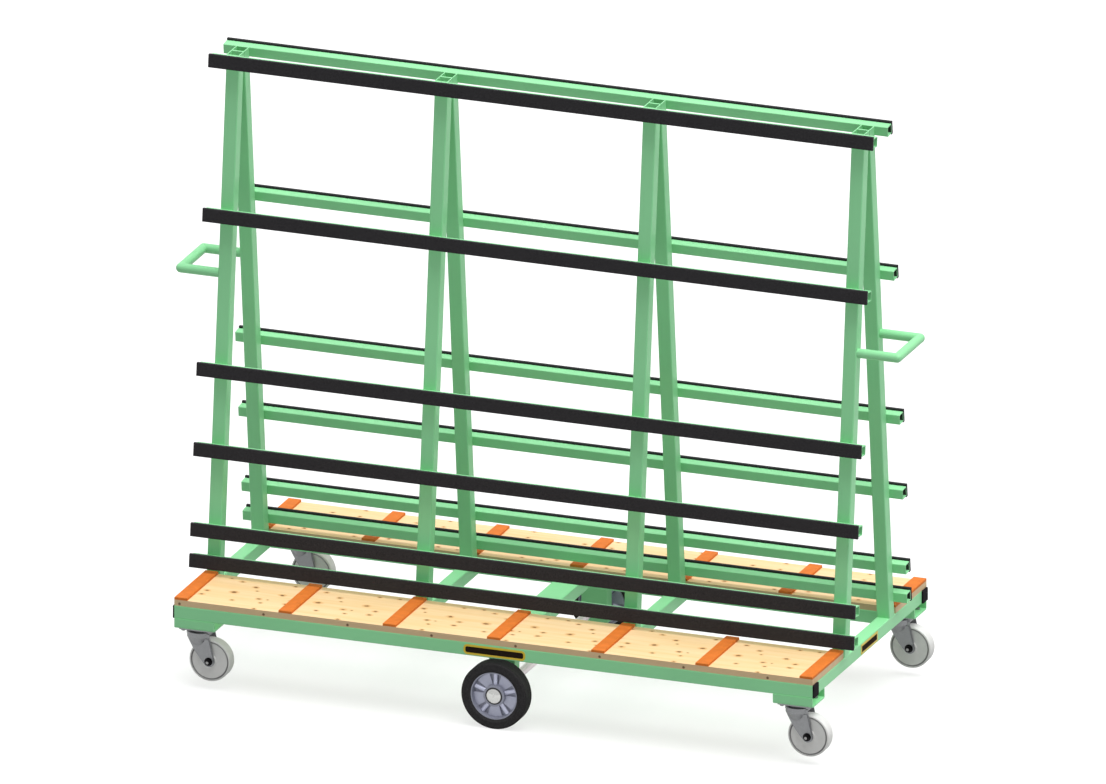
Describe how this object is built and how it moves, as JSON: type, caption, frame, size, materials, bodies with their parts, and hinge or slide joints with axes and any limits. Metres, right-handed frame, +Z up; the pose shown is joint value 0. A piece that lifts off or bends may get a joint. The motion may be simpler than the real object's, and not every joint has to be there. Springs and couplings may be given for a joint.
{
  "type": "glass cart",
  "caption": "Green A-frame cart for sheets of glass, with rubber-faced rack rails and a plywood deck on each side, swivel castors and two larger middle wheels.",
  "frame": {"origin": "on the floor under the middle of the cart", "axes": "+X along the cart, towards the end that the castors trail to; +Y from the front side to the rear side; +Z up"},
  "size_m": [2.228, 0.9306, 1.802],
  "materials": {
    "green_paint": "gloss green enamel",
    "rail_rubber": "matt extruded rubber",
    "strip_rubber": "matt orange rubber",
    "plywood": "varnished softwood ply",
    "black_plastic": "fine grain",
    "axle_steel": "drawn",
    "polished_cap": "pressed and polished",
    "wheel_rubber": "matt",
    "cast_hub": "die cast",
    "bearing_steel": "sealed",
    "zinc_plate": "bright zinc",
    "zinc_fasteners": "bright zinc",
    "blackened_steel": "blackened",
    "white_nylon": "moulded"
  },
  "bodies": {
    "chassis": {"base_rail_front": "green_paint", "base_rail_rear": "green_paint", "end_rail_left": "green_paint", "cross_rail_left": "green_paint", "cross_rail_right": "green_paint", "end_rail_right": "green_paint", "centre_beam": "green_paint", "leg_front_1": "green_paint", "leg_front_2": "green_paint", "leg_front_3": "green_paint", "leg_front_4": "green_paint", "leg_rear_1": "green_paint", "leg_rear_2": "green_paint", "leg_rear_3": "green_paint", "leg_rear_4": "green_paint", "rack_rail_front_1": "green_paint", "rack_rail_front_2": "green_paint", "rack_rail_front_3": "green_paint", "rack_rail_front_4": "green_paint", "rack_rail_front_5": "green_paint", "rack_rail_front_6": "green_paint", "rack_rail_rear_1": "green_paint", "rack_rail_rear_2": "green_paint", "rack_rail_rear_3": "green_paint", "rack_rail_rear_4": "green_paint", "rack_rail_rear_5": "green_paint", "rack_rail_rear_6": "green_paint", "rubber_facings": "rail_rubber", "deck_front": "plywood", "deck_rear": "plywood", "deck_strips": "strip_rubber", "end_caps": "black_plastic", "handle_left": "green_paint", "handle_right": "green_paint", "axle_post_front": "green_paint", "axle_post_rear": "green_paint", "castor_channels": "green_paint", "axle": "axle_steel", "axle_collars": "axle_steel", "axle_caps": "polished_cap", "castor_plates": "zinc_plate", "castor_bolts": "zinc_fasteners"},
    "centre_wheel_front": {"tyre_front": "wheel_rubber", "hub_front": "cast_hub", "hub_bearings_front": "bearing_steel"},
    "centre_wheel_rear": {"tyre_rear": "wheel_rubber", "hub_rear": "cast_hub", "hub_bearings_rear": "bearing_steel"},
    "castor_front_left": {"castor_fork_front_left": "zinc_plate", "castor_axle_front_left": "blackened_steel"},
    "roller_front_left": {"castor_wheel_front_left": "white_nylon"},
    "castor_front_right": {"castor_fork_front_right": "zinc_plate", "castor_axle_front_right": "blackened_steel"},
    "roller_front_right": {"castor_wheel_front_right": "white_nylon"},
    "castor_rear_left": {"castor_fork_rear_left": "zinc_plate", "castor_axle_rear_left": "blackened_steel"},
    "roller_rear_left": {"castor_wheel_rear_left": "white_nylon"},
    "castor_rear_right": {"castor_fork_rear_right": "zinc_plate", "castor_axle_rear_right": "blackened_steel"},
    "roller_rear_right": {"castor_wheel_rear_right": "white_nylon"}
  },
  "joints": [
    {"name": "centre_wheel_spin_front", "type": "hinge", "parent": "chassis", "child": "centre_wheel_front", "pos_m": [0, -0.435, 0.1], "axis": [0, 1, 0], "continuous": true},
    {"name": "centre_wheel_spin_rear", "type": "hinge", "parent": "chassis", "child": "centre_wheel_rear", "pos_m": [0, 0.435, 0.1], "axis": [0, 1, 0], "continuous": true},
    {"name": "castor_swivel_front_left", "type": "hinge", "parent": "chassis", "child": "castor_front_left", "pos_m": [-0.919, -0.411, 0.16], "axis": [0, 0, 1], "continuous": true},
    {"name": "castor_spin_front_left", "type": "hinge", "parent": "castor_front_left", "child": "roller_front_left", "pos_m": [-0.883, -0.411, 0.0885], "axis": [0, 1, 0], "continuous": true},
    {"name": "castor_swivel_front_right", "type": "hinge", "parent": "chassis", "child": "castor_front_right", "pos_m": [0.919, -0.411, 0.16], "axis": [0, 0, 1], "continuous": true},
    {"name": "castor_spin_front_right", "type": "hinge", "parent": "castor_front_right", "child": "roller_front_right", "pos_m": [0.955, -0.411, 0.0885], "axis": [0, 1, 0], "continuous": true},
    {"name": "castor_swivel_rear_left", "type": "hinge", "parent": "chassis", "child": "castor_rear_left", "pos_m": [-0.919, 0.411, 0.16], "axis": [0, 0, 1], "continuous": true},
    {"name": "castor_spin_rear_left", "type": "hinge", "parent": "castor_rear_left", "child": "roller_rear_left", "pos_m": [-0.883, 0.411, 0.0885], "axis": [0, 1, 0], "continuous": true},
    {"name": "castor_swivel_rear_right", "type": "hinge", "parent": "chassis", "child": "castor_rear_right", "pos_m": [0.919, 0.411, 0.16], "axis": [0, 0, 1], "continuous": true},
    {"name": "castor_spin_rear_right", "type": "hinge", "parent": "castor_rear_right", "child": "roller_rear_right", "pos_m": [0.955, 0.411, 0.0885], "axis": [0, 1, 0], "continuous": true}
  ]
}
